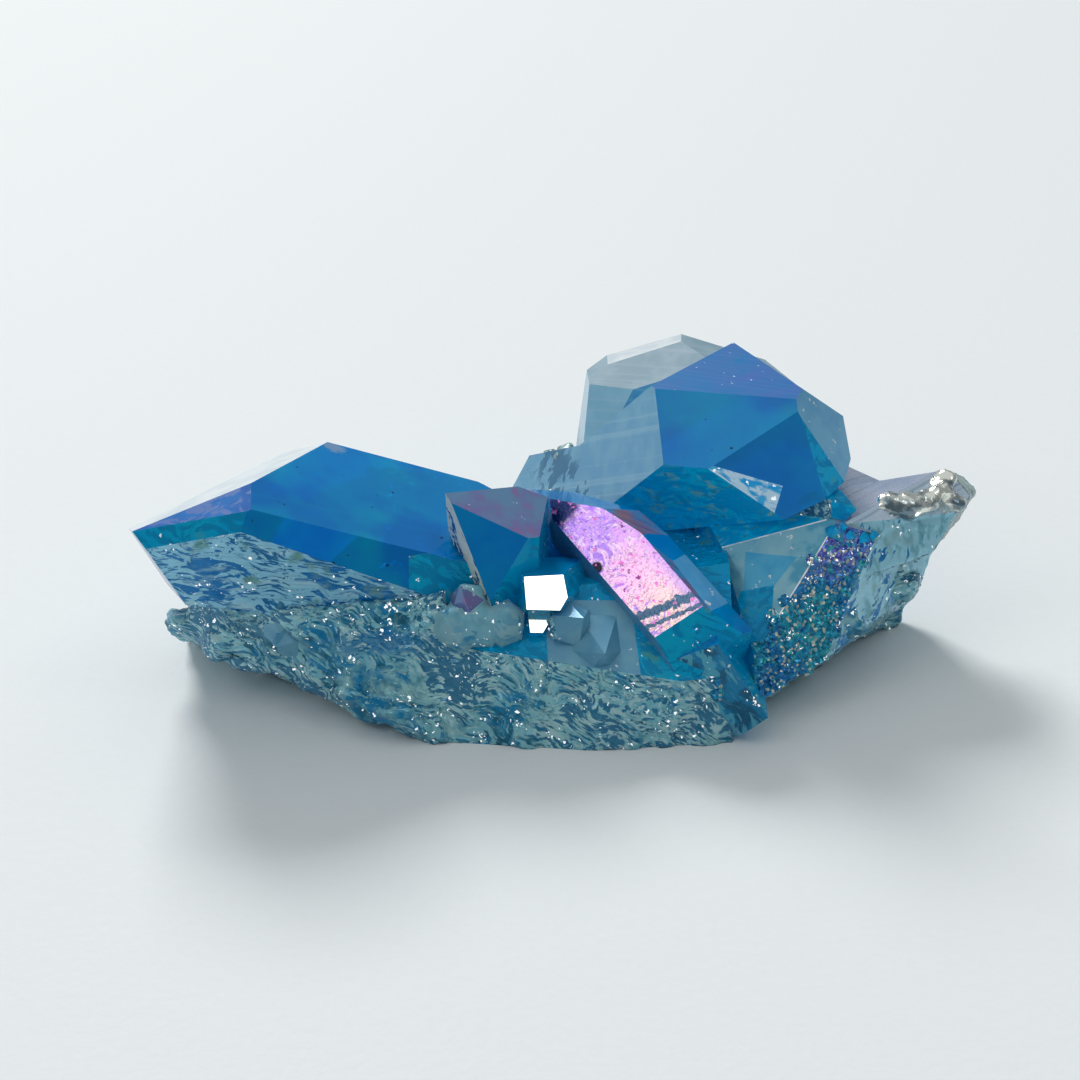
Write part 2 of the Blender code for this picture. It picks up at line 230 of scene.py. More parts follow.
# Small grown pieces with a finish of their own: centre, radius and finish.
ZONES: tuple[tuple[Point, float, Finish], ...] = (
    ((-8.1, -7.2, 15.4), 1.5, F.PLUM),
    ((-6.2, -8.2, 13.6), 5.2, F.NUB),
    ((6.0, -9.8, 11.6), 5.0, F.PLATE),
    ((-28.0, -8.4, 9.5), 2.7, F.PLATE),
    ((34.2, 1.8, 20.6), 4.0, F.TEAL),
    ((42.5, 6.8, 19.6), 6.5, F.KNOB),
    ((1.3, 29.2, 12.0), 8.0, F.STONE),
)

# The edges that catch the light as a bright line, by the finishes on their two sides. Their chamfers get a
# near-white painted highlight.
BRIGHT_EDGES: tuple[frozenset[Finish], ...] = (
    frozenset((F.SILVER, F.DRUSE)), frozenset((F.LOW_SILVER, F.DRUSE)),
    frozenset((F.VIOLET, F.RIGHT_SLATE)), frozenset((F.SILVER, F.LENS)),
)

# The longest edge that the mesh of a finish keeps, in millimetres: fine where there is relief.
EDGE_LENGTH: dict[Finish, float] = {
    F.ETCHED: 0.4, F.MATRIX: 0.5, F.FLOW: 0.45, F.DRUSE: 0.42, F.STONE: 0.5, F.KNOB: 0.4,
    F.CRACKLED: 0.5, F.NUB: 0.7,
}
PLAIN_EDGE_LENGTH = 6.0
ROUGH = {F.MATRIX, F.STONE, F.FLOW, F.ETCHED, F.CRACKLED, F.DRUSE, F.KNOB}
SOFT_SHADED = (ROUGH | {F.NUB}) - {F.DRUSE}


def facing(azimuth: float, elevation: float) -> Vector:
    """The unit vector that looks along an azimuth, from +X towards +Y, and an elevation.

    Args:
        azimuth: degrees from +X.
        elevation: degrees above the table.

    Returns:
        The unit vector.
    """
    across = math.cos(math.radians(elevation))
    return Vector((math.cos(math.radians(azimuth)) * across,
                   math.sin(math.radians(azimuth)) * across,
                   math.sin(math.radians(elevation))))


def tone(red: int, green: int, blue: int) -> Colour:
    """A colour for a shader, from tones of 0 to 255 as a screen shows them.

    Args:
        red: the red tone.
        green: the green tone.
        blue: the blue tone.

    Returns:
        The linear colour.
    """
    return tuple((value / 255) ** 2.2 for value in (red, green, blue))


def into_scene(name: str, data: bpy.types.ID) -> bpy.types.Object:
    """A new object in the scene.

    Args:
        name: its name.
        data: its mesh, light or camera.

    Returns:
        The object.
    """
    obj = bpy.data.objects.new(name, data)
    bpy.context.scene.collection.objects.link(obj)
    return obj


@dataclass(frozen=True)
class Facet:
    """One flat face of one crystal, known by its plane."""

    crystal: str
    heart: Vector
    normal: Vector
    reach: float
    finish: Finish

    def holds(self, centre: Vector, normal: Vector) -> bool:
        """Whether a polygon with this centre and normal lies on the facet.

        Args:
            centre: the polygon's middle, in millimetres.
            normal: its unit normal.

        Returns:
            True if it does.
        """
        if normal.dot(self.normal) < SAME_WAY:
            return False
        return abs((centre - self.heart).dot(self.normal) - self.reach) < PLANE_GAP


def all_facets() -> list[Facet]:
    """Every facet in the table of crystals.

    Returns:
        The facets, with their hearts in the frame of the cluster.
    """
    facets = []
    for name, (heart, faces) in CRYSTALS.items():
        for azimuth, elevation, reach, finish in faces:
            facets.append(Facet(name, Vector(heart), facing(azimuth, elevation), reach, finish))
    return facets


@dataclass
class ClusterSkin:
    """The visible surface of the whole cluster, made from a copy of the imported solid."""

    chamfer: float = 0.06
    bright_chamfer: float = 0.17
    chamfer_angle: float = 14.0
    smoothing_rounds: int = 3
    point_smoothing_rounds: int = 6
    facets: list[Facet] = field(default_factory=all_facets)

    def load_solid(self) -> bmesh.types.BMesh:
        """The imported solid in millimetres, as whole flat faces.

        Returns:
            The mesh, in the frame of the tables.
        """
        bm = bmesh.new()
        bm.from_mesh(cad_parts[NODE].data)
        bm.transform(Matrix.Translation(BOX_CENTRE) @ Matrix.Scale(1 / MM, 4))
        bmesh.ops.remove_doubles(bm, verts=bm.verts[:], dist=WELD)
        bmesh.ops.dissolve_limit(bm, angle_limit=math.radians(FLAT_ANGLE), use_dissolve_boundaries=False,
                                 verts=bm.verts[:], edges=bm.edges[:])
        return bm

    def finish_of(self, face: bmesh.types.BMFace) -> tuple[Finish, bool]:
        """The finish of a polygon, and whether it is a facet of a large crystal.

        Args:
            face: the polygon.

        Returns:
            The finish, and True for a facet.
        """
        centre, normal = face.calc_center_median(), face.normal
        for facet in self.facets:
            if facet.holds(centre, normal):
                return facet.finish, True
        for middle, radius, finish in ZONES:
            if (centre - Vector(middle)).length < radius:
                return finish, finish is F.PLATE
        druse = next(facet for facet in self.facets if facet.finish is F.DRUSE)
        height = (centre - druse.heart).dot(druse.normal) - druse.reach
        if 0.0 < height < DRUSE_HEIGHT and DRUSE_SPAN[0] < centre.x < DRUSE_SPAN[1]:
            return F.DRUSE, False
        return F.MATRIX, False

    def paint(self, bm: bmesh.types.BMesh) -> None:
        """Gives every polygon its finish as a material number, and tags the crisp facets.

        Args:
            bm: the mesh.
        """
        order = list(Finish)
        for face in bm.faces:
            finish, large = self.finish_of(face)
            face.material_index = order.index(finish)
            face.tag = large and finish not in ROUGH

    def mark_regions(self, bm: bmesh.types.BMesh) -> None:
        """Cuts the parts with a finish of their own out of their facets.

        Args:
            bm: the mesh.
        """
        for region in REGIONS:
            heart = Vector(CRYSTALS[region.crystal][0])
            facet = Facet(region.crystal, heart, facing(*region.place[:2]), region.place[2], region.finish)
            corners = [Vector(corner) for corner in region.corners]
            sides = []
            for start, end in zip(corners, corners[1:] + corners[:1]):
                outward = (end - start).cross(facet.normal)
                middle = sum(corners, Vector()) / len(corners)
                sides.append((start, outward if (middle - start).dot(outward) < 0 else -outward))
            for start, outward in sides:
                faces = [face for face in bm.faces if facet.holds(face.calc_center_median(), face.normal)
                         and all((face.calc_center_median() - at).dot(way) < REGION_REACH
                                 for at, way in sides)]
                around = dict.fromkeys(item for face in faces for item in (*face.verts, *face.edges))
                bmesh.ops.bisect_plane(bm, geom=faces + list(around), dist=CUT_GAP, plane_co=start,
                                       plane_no=outward)
            number = list(Finish).index(region.finish)
            for face in bm.faces:
                centre = face.calc_center_median()
                inside = all((centre - at).dot(way) < 0 for at, way in sides)
                if inside and facet.holds(centre, face.normal):
                    face.material_index = number

    def chamfer_edges(self, bm: bmesh.types.BMesh) -> None:
        """Takes a thin chamfer off the outer edges, wider where an edge catches the light; the chamfers get
        a pale or a near-white finish, a painted edge highlight.

        Args:
            bm: the mesh.
        """
        order = list(Finish)
        limit = math.radians(self.chamfer_angle)
        for bright, width, finish in ((True, self.bright_chamfer, F.GLINT), (False, self.chamfer, F.EDGE)):
            chosen = []
            for edge in bm.edges:
                short = edge.calc_length() < SHORTEST_CHAMFER
                if len(edge.link_faces) != 2 or not edge.is_convex or short:
                    continue
                kinds = frozenset(order[face.material_index] for face in edge.link_faces)
                crisp = all(face.tag for face in edge.link_faces) and edge.calc_face_angle() > limit
                if (kinds in BRIGHT_EDGES and edge.calc_face_angle() > limit) if bright else crisp:
                    chosen.append(edge)
            made = bmesh.ops.bevel(bm, geom=chosen, offset=width, offset_type="OFFSET", segments=1,
                                   profile=0.5, affect="EDGES", clamp_overlap=True, material=-1)
            # The chamfer faces take the pale edge finish or the near-white glint: painted edge highlights.
            for face in made["faces"]:
                face.material_index = order.index(finish)
                face.tag = False

    def refine(self, bm: bmesh.types.BMesh) -> None:
        """Cuts long edges until each finish has a mesh fine enough for its relief.

        Args:
            bm: the mesh.
        """
        longest = [EDGE_LENGTH.get(finish, PLAIN_EDGE_LENGTH) for finish in Finish]
        for _ in range(REFINE_ROUNDS):
            bmesh.ops.triangulate(bm, faces=[face for face in bm.faces if len(face.verts) > 3])
            long_edges = [edge for edge in bm.edges if edge.calc_length()
                          > LONG_SHARE * min(longest[face.material_index] for face in edge.link_faces)]
            if not long_edges:
                break
            bmesh.ops.subdivide_edges(bm, edges=long_edges, cuts=1)
        bmesh.ops.triangulate(bm, faces=[face for face in bm.faces if len(face.verts) > 3])

    def relief(self, finish: Finish, place: Vector) -> float:
        """The height of the surface at a place.

        Args:
            finish: the finish there.
            place: the place in millimetres.

        Returns:
            The height in millimetres.
        """
        bent = place + noise.noise_vector(place * 0.25) * 1.4
        if finish in (F.ETCHED, F.FLOW):
            flow = Vector((bent.x * 0.35, bent.y * 0.9, bent.z * 1.1 + bent.x * 0.25))
            return 0.16 * noise.fractal(flow * 0.9, 0.7, 2.0, 3) - 0.05
        if finish is F.MATRIX or finish is F.STONE:
            flow = Vector((bent.x * 0.35, bent.y * 0.5, bent.z * 0.9 + bent.x * 0.3))
            slow = noise.fractal(bent * 0.2, 0.8, 2.0, 2)
            ridge = 1.0 - 2.2 * abs(noise.noise(flow * 0.9))
            fine = noise.fractal(flow * 1.9, 0.8, 2.0, 2)
            gain = 1.0 if finish is F.MATRIX else 0.5
            return gain * (0.42 * slow + 0.26 * ridge + 0.2 * fine - 0.12)
        if finish is F.KNOB:
            return 0.35 * noise.fractal(place * 0.45, 0.7, 2.0, 2)
        if finish is F.CRACKLED:
            return 0.08 * noise.fractal(place * 1.4, 0.7, 2.0, 3)
        if finish is F.DRUSE:
            step = Vector((bent.x * 1.1, bent.y * 1.1, bent.z * 1.6))
            return 0.2 * noise.noise(step) + 0.12 * noise.noise(step * 2.3 + Vector((7.0, 3.0, 1.0)))
        return 0.0

    def roughen(self, bm: bmesh.types.BMesh) -> None:
        """Softens the lumps and points, and raises the relief of every rough finish.

        Args:
            bm: the mesh.
        """
        noise.seed_set(NOISE_SEED)
        order = list(Finish)
        kinds_at = {vert: {order[face.material_index] for face in vert.link_faces} for vert in bm.verts}
        for softened, rounds in (({F.MATRIX, F.STONE, F.NUB}, self.smoothing_rounds),
                                 ({F.DRUSE, F.KNOB}, self.point_smoothing_rounds)):
            chosen = [vert for vert, kinds in kinds_at.items()
                      if kinds <= softened and vert.co.z > REST_HEIGHT]
            for _ in range(rounds):
                bmesh.ops.smooth_vert(bm, verts=chosen, factor=0.5, use_axis_x=True, use_axis_y=True,
                                      use_axis_z=True)
        bm.normal_update()
        low, high = (Vector(corner) / MM + BOX_CENTRE for corner in CAD_BOX)
        moves = []
        for vert, kinds in kinds_at.items():
            if kinds <= ROUGH and vert.co.z > REST_HEIGHT:
                finish = sorted(kinds, key=lambda item: item.value)[0]
                moves.append((vert, vert.co + vert.normal * self.relief(finish, vert.co)))
        for vert, place in moves:
            place.z = max(place.z, LOWEST_RELIEF)
            vert.co = Vector([min(max(place[i], low[i]), high[i]) for i in range(3)])

    def build(self) -> bpy.types.Object:
        """Makes the visible cluster.

        Returns:
            The finished object, in metres.
        """
        bm = self.load_solid()
        log.info("solid: %d faces", len(bm.faces))
        self.paint(bm)
        self.mark_regions(bm)
        self.chamfer_edges(bm)
        self.refine(bm)
        self.roughen(bm)
        soft = {list(Finish).index(item) for item in SOFT_SHADED}
        for face in bm.faces:
            face.smooth = face.material_index in soft
        for edge in bm.edges:
            if len(edge.link_faces) == 2 and not all(face.smooth for face in edge.link_faces):
                edge.smooth = False
        bm.transform(Matrix.Scale(MM, 4) @ Matrix.Translation(-BOX_CENTRE))
        mesh = bpy.data.meshes.new("aura_quartz_skin")
        bm.to_mesh(mesh)
        bm.free()
        log.info("skin: %d triangles", len(mesh.polygons))
        return into_scene("aura_quartz_skin", mesh)


class NodeBoard:
    """Adds shader nodes to one tree and joins them."""

    def __init__(self, tree: bpy.types.NodeTree) -> None:
        """Takes the tree that the nodes go in."""
        self.tree = tree

    def put(self, socket: bpy.types.NodeSocket, value: object) -> None:
        """Links a socket, or sets its plain value.

        Args:
            socket: the input.
            value: another node's output, or a number, colour or vector.
        """
        if isinstance(value, bpy.types.NodeSocket):
            self.tree.links.new(value, socket)
        elif value is not None:
            if socket.type == "RGBA" and len(value) == 3:
                value = (*value, 1.0)
            socket.default_value = value

    def add(self, kind: str, settings: dict[str, object] | None = None, **inputs: object) -> bpy.types.Node:
        """A new node.

        Args:
            kind: its type, without the word ShaderNode in front.
            settings: its options.
            inputs: values for its inputs, by name with underscores for spaces.

        Returns:
            The node.
        """
        node = self.tree.nodes.new("ShaderNode" + kind)
        for key, value in (settings or {}).items():
            setattr(node, key, value)
        for key, value in inputs.items():
            self.put(node.inputs[key.replace("_", " ")], value)
        return node

    def math(self, operation: str, *values: object) -> bpy.types.NodeSocket:
        """The result of a Math node.

        Args:
            operation: its operation.
            values: its values, in order.

        Returns:
            The output.
        """
        node = self.add("Math", {"operation": operation})
        for socket, value in zip(node.inputs, values):
            self.put(socket, value)
        return node.outputs[0]

    def vector(self, operation: str, a: object, b: object = None,
               scale: object = None) -> bpy.types.NodeSocket:
        """The result of a Vector Math node.

        Args:
            operation: its operation.
            a: the first vector.
            b: the second vector.
            scale: the number of a scale.

        Returns:
            The output, a number for a dot product or a length.
        """
        node = self.add("VectorMath", {"operation": operation})
        self.put(node.inputs[0], a)
        self.put(node.inputs[1], b)
        if scale is not None:
            self.put(node.inputs["Scale"], scale)
        return node.outputs["Value" if operation in ("DOT_PRODUCT", "LENGTH", "DISTANCE") else "Vector"]

    def mix(self, factor: object, a: object, b: object) -> bpy.types.NodeSocket:
        """A mix of two colours.

        Args:
            factor: how much of the second.
            a: the first colour.
            b: the second colour.

        Returns:
            The mixed colour.
        """
        node = self.add("Mix", {"data_type": "RGBA"})
        for index, value in zip((0, 6, 7), (factor, a, b)):  # the sockets of a colour mix
            self.put(node.inputs[index], value)
        return node.outputs[2]

    def blend(self, factor: object, a: object, b: object) -> bpy.types.NodeSocket:
        """A mix of two numbers.

        Args:
            factor: how much of the second.
            a: the first number.
            b: the second number.

        Returns:
            The mixed number.
        """
        return self.math("MULTIPLY_ADD", factor, self.math("SUBTRACT", b, a), a)

    def span(self, value: object, low: object, high: object) -> bpy.types.NodeSocket:
        """A value brought from between low and high to between 0 and 1, with soft ends.

        Args:
            value: the value.
            low: what becomes 0.
            high: what becomes 1.

        Returns:
            The number from 0 to 1.
        """
        node = self.add("MapRange", {"interpolation_type": "SMOOTHSTEP"})
        for index, item in enumerate((value, low, high)):
            self.put(node.inputs[index], item)
        return node.outputs[0]

    def noise(self, vector: object, scale: object, detail: float,
              rough: float = 0.5) -> bpy.types.NodeSocket:
        """Smooth noise from 0 to 1.

        Args:
            vector: where, in millimetres.
            scale: waves a millimetre.
            detail: how many finer layers.
            rough: the strength of the finer layers.

        Returns:
            The noise.
        """
        return self.add("TexNoise", None, Vector=vector, Scale=scale, Detail=detail,
                        Roughness=rough).outputs[0]

    def cells(self, vector: object, size: object) -> bpy.types.Node:
        """A node of random cells of a size in millimetres."""
        return self.add("TexVoronoi", {"feature": "F1"}, Vector=vector,
                        Scale=self.math("DIVIDE", 1.0, size), Randomness=1.0)

    def wild(self, vector: object, scale: object, detail: float) -> bpy.types.NodeSocket:
        """Rough noise from -0.5 to 0.5, to make a border ragged."""
        return self.math("SUBTRACT", self.noise(vector, scale, detail, 0.6), 0.5)

    def bent(self, vector: object, scale: float, reach: float) -> bpy.types.NodeSocket:
        """A place moved by smooth noise.

        Args:
            vector: the place, in millimetres.
            scale: waves a millimetre.
            reach: how far it moves, in millimetres.

        Returns:
            The moved place.
        """
        swirl = self.add("TexNoise", None, Vector=vector, Scale=scale, Detail=0.0).outputs["Color"]
        away = self.vector("SUBTRACT", swirl, (0.5, 0.5, 0.5))
        return self.vector("ADD", vector, self.vector("SCALE", away, scale=reach))


def make_group(name: str, outputs: dict[str, str], **inputs: object) -> tuple:
    """An empty shader group with its sockets, the place in millimetres first.

    Args:
        name: the name of the group.
        outputs: the kind of each output.
        inputs: the default of each other input, a number or a vector.

    Returns:
        The group, its board, its input node's outputs and its output node's inputs.
    """
    tree = bpy.data.node_groups.new(name, "ShaderNodeTree")
    for key, value in ({"Place": (0, 0, 0)} | inputs if inputs else {}).items():
        kind = "NodeSocketFloat" if isinstance(value, (int, float)) else "NodeSocketVector"
        tree.interface.new_socket(key, in_out="INPUT", socket_type=kind).default_value = value
    for key, kind in outputs.items():
        tree.interface.new_socket(key, in_out="OUTPUT", socket_type="NodeSocket" + kind)
    entry, leave = tree.nodes.new("NodeGroupInput"), tree.nodes.new("NodeGroupOutput")
    return tree, NodeBoard(tree), entry.outputs, leave.inputs


def place_group() -> bpy.types.NodeTree:
    """A group that gives the place on the cluster in millimetres, in the frame of the tables.

    Returns:
        The group.
    """
    tree, board, _, leave = make_group("place_in_millimetres", {"Place": "Vector"})
    spot = board.add("TexCoord").outputs["Object"]
    large = board.vector("SCALE", spot, scale=1 / MM)
    board.put(leave["Place"], board.vector("ADD", large, tuple(BOX_CENTRE)))
    return tree


def patch_group() -> bpy.types.NodeTree:
    """A group that marks a soft ragged patch round a point.

    Returns:
        The group.
    """
    tree, board, entry, leave = make_group("ragged_patch", {"Mask": "Float"}, Centre=(0, 0, 0),
                                           Across=(1, 1, 1), Softness=0.4, Raggedness=0.3, Grain=0.8)
    away = board.vector("SUBTRACT", entry["Place"], entry["Centre"])
    length = board.vector("LENGTH", board.vector("DIVIDE", away, entry["Across"]))
    wild = board.math("MULTIPLY", board.wild(entry["Place"], entry["Grain"], 4.0), 2.0)
    total = board.blend(entry["Raggedness"], length, board.math("ADD", length, wild))
    edge = board.math("ADD", 1.0, entry["Softness"])
    inner = board.math("SUBTRACT", 1.0, entry["Softness"])
    board.put(leave["Mask"], board.math("SUBTRACT", 1.0, board.span(total, inner, edge)))
    return tree


def band_group() -> bpy.types.NodeTree:
    """A group that marks a ragged straight band across a direction.

    Returns:
        The group.
    """
    tree, board, entry, leave = make_group("ragged_band", {"Mask": "Float"}, Direction=(1, 0, 0),
                                           Middle=0.0, Width=0.3, Raggedness=0.3, Grain=1.0)
    along = board.vector("DOT_PRODUCT", entry["Place"], entry["Direction"])
    away = board.math("ABSOLUTE", board.math("SUBTRACT", along, entry["Middle"]))
    wild = board.wild(entry["Place"], entry["Grain"], 3.0)
    total = board.math("ADD", away, board.math("MULTIPLY", wild, entry["Raggedness"]))
    inner = board.math("MULTIPLY", entry["Width"], 0.7)
    board.put(leave["Mask"], board.math("SUBTRACT", 1.0, board.span(total, inner, entry["Width"])))
    return tree


def lines_group() -> bpy.types.NodeTree:
    """A group that draws fine parallel growth lines across a direction.

    Returns:
        The group.
    """
    tree, board, entry, leave = make_group("growth_lines", {"Lines": "Float"}, Direction=(1, 0, 0),
                                           Pitch=0.6, Waver=0.3)
    along = board.vector("DOT_PRODUCT", entry["Place"], entry["Direction"])
    bend = board.math("MULTIPLY", board.noise(entry["Place"], 0.25, 2.0), entry["Waver"])
    steps = board.math("DIVIDE", board.math("ADD", along, bend), entry["Pitch"])
    row = board.add("CombineXYZ", None, X=steps, Y=0.0, Z=0.0).outputs[0]
    board.put(leave["Lines"], board.noise(row, 1.0, 3.0, 0.7))
    return tree


def film_group() -> bpy.types.NodeTree:
    """A group that marks a thin film with torn openings drawn out along a flow.

    Returns:
        The group.
    """
    fine_ratio, fine_share, drift_scale = 2.6, 0.45, 0.16
    tree, board, entry, leave = make_group("torn_film", {"Mask": "Float"}, Flow=(1, 0, 0), Stretch=0.3,
                                           Grain=1.0, Bare=0.4, Edge=0.02, Drift=0.6)
    bent = board.bent(entry["Place"], 0.3, 3.0)
    along = board.vector("DOT_PRODUCT", bent, entry["Flow"])
    keep = board.math("MULTIPLY", along, board.math("SUBTRACT", 1.0, entry["Stretch"]))
    drawn = board.vector("SUBTRACT", bent, board.vector("SCALE", entry["Flow"], scale=keep))
    coarse = board.noise(drawn, entry["Grain"], 1.0)
    fine = board.noise(drawn, board.math("MULTIPLY", entry["Grain"], fine_ratio), 1.0)
    wide = board.noise(entry["Place"], drift_scale, 0.0)
    finer = board.math("MULTIPLY", board.math("SUBTRACT", fine, 0.5), fine_share)
    shift = board.math("MULTIPLY", board.math("SUBTRACT", wide, 0.5), entry["Drift"])
    total = board.math("ADD", board.math("ADD", coarse, finer), shift)
    low = board.math("SUBTRACT", entry["Bare"], entry["Edge"])
    high = board.math("ADD", entry["Bare"], entry["Edge"])
    board.put(leave["Mask"], board.span(total, low, high))
    return tree


def facets_group() -> bpy.types.NodeTree:
    """A group of tiny crystal faces, each with its own slope and its own random number.

    Returns:
        The group.
    """
    tree, board, entry, leave = make_group("tiny_facets", {"Height": "Float", "Pick": "Float"}, Size=0.5,
                                           Slope=1.0)
    cells = board.cells(entry["Place"], entry["Size"])
    away = board.vector("SUBTRACT", entry["Place"], cells.outputs["Position"])
    way = board.vector("SUBTRACT", cells.outputs["Color"], (0.5, 0.5, 0.5))
    rise = board.vector("DOT_PRODUCT", away, way)
    board.put(leave["Height"], board.math("MULTIPLY", rise, entry["Slope"]))
    board.put(leave["Pick"], board.add("SeparateColor", None, Color=cells.outputs["Color"]).outputs[0])
    return tree


def specks_group() -> bpy.types.NodeTree:
    """A group that marks small grains of many sizes, in loose swarms.

    Returns:
        The group.
    """
    smallest, spread, core = 0.14, 0.42, 0.7
    sparse, crowded = 0.1, 3.4
    tree, board, entry, leave = make_group("specks", {"Mask": "Float"}, Size=0.5, Share=0.1)
    cells = board.cells(board.bent(entry["Place"], 4.0, 0.5), entry["Size"])
    parts = board.add("SeparateColor", None, Color=cells.outputs["Color"]).outputs
    swarm = board.span(board.noise(entry["Place"], 0.35, 0.0), 0.42, 0.6)
    share = board.math("MULTIPLY", entry["Share"], board.math("MULTIPLY_ADD", swarm, crowded, sparse))
    across = board.math("ADD", smallest, board.math("MULTIPLY", parts[1], spread))
    near = board.span(cells.outputs["Distance"], across, board.math("MULTIPLY", across, core))
    board.put(leave["Mask"], board.math("MULTIPLY", board.math("LESS_THAN", parts[0], share), near))
    return tree


@dataclass(frozen=True)
class Cloud:
    """A second colour in soft clouds."""

    colour: Colour
    scale: float = 0.15
    low: float = 0.4
    high: float = 0.65
    stretch: Point = (1.0, 1.0, 1.0)
    roughness: float | None = None


@dataclass(frozen=True)
class Patch:
    """A patch of another colour round a point."""

    colour: Colour
    centre: Point
    across: Point
    softness: float = 0.4
    raggedness: float = 0.4
    grain: float = 0.5
    strength: float = 1.0
    roughness: float | None = None


@dataclass(frozen=True)
class Sweep:
    """A colour that comes in along a direction, from a start to an end."""

    colour: Colour
    start: Point
    end: Point
    strength: float = 1.0
    roughness: float | None = None


@dataclass(frozen=True)
class Band:
    """A ragged band of colour across a direction."""

    colour: Colour
    direction: Point
    middle: float
    width: float
    raggedness: float = 0.5
    grain: float = 1.2
    strength: float = 1.0
    roughness: float | None = None


@dataclass(frozen=True)
class Lines:
    """Growth lines, lighter or darker, that cross a direction."""

    colour: Colour
    direction: Point
    pitch: float = 0.5
    strength: float = 0.5
    low: float = 0.5
    high: float = 0.6
    height: float = 0.02
    roughness: float | None = None


@dataclass(frozen=True)
class Specks:
    """Small grains of a colour. A shining one gives off the light that its tiny faces would catch: a
    painted glint.
    """

    colour: Colour
    size: float = 0.5
    share: float = 0.1
    roughness: float | None = 0.1
    shine: float = 0.0


@dataclass(frozen=True)
class Film:
    """A thin frosted film with torn openings that leave the colour so far in sight."""

    colour: Colour
    flow: Point
    stretch: float = 0.3
    grain: float = 1.0
    bare: float = 0.42
    edge: float = 0.02
    drift: float = 0.6
    height: float = 0.05
    strength: float = 1.0
    roughness: float | None = 0.3
    within: tuple[Point, Point] | None = None


@dataclass(frozen=True)
class Sparkle:
    """Tiny crystal faces that catch the light, some of them in a colour of their own; on the druse a
    near-white one that paints their glints.
    """

    colour: Colour
    size: float = 0.45
    slope: float = 1.0
    share: float = 0.3
    roughness: float | None = 0.12


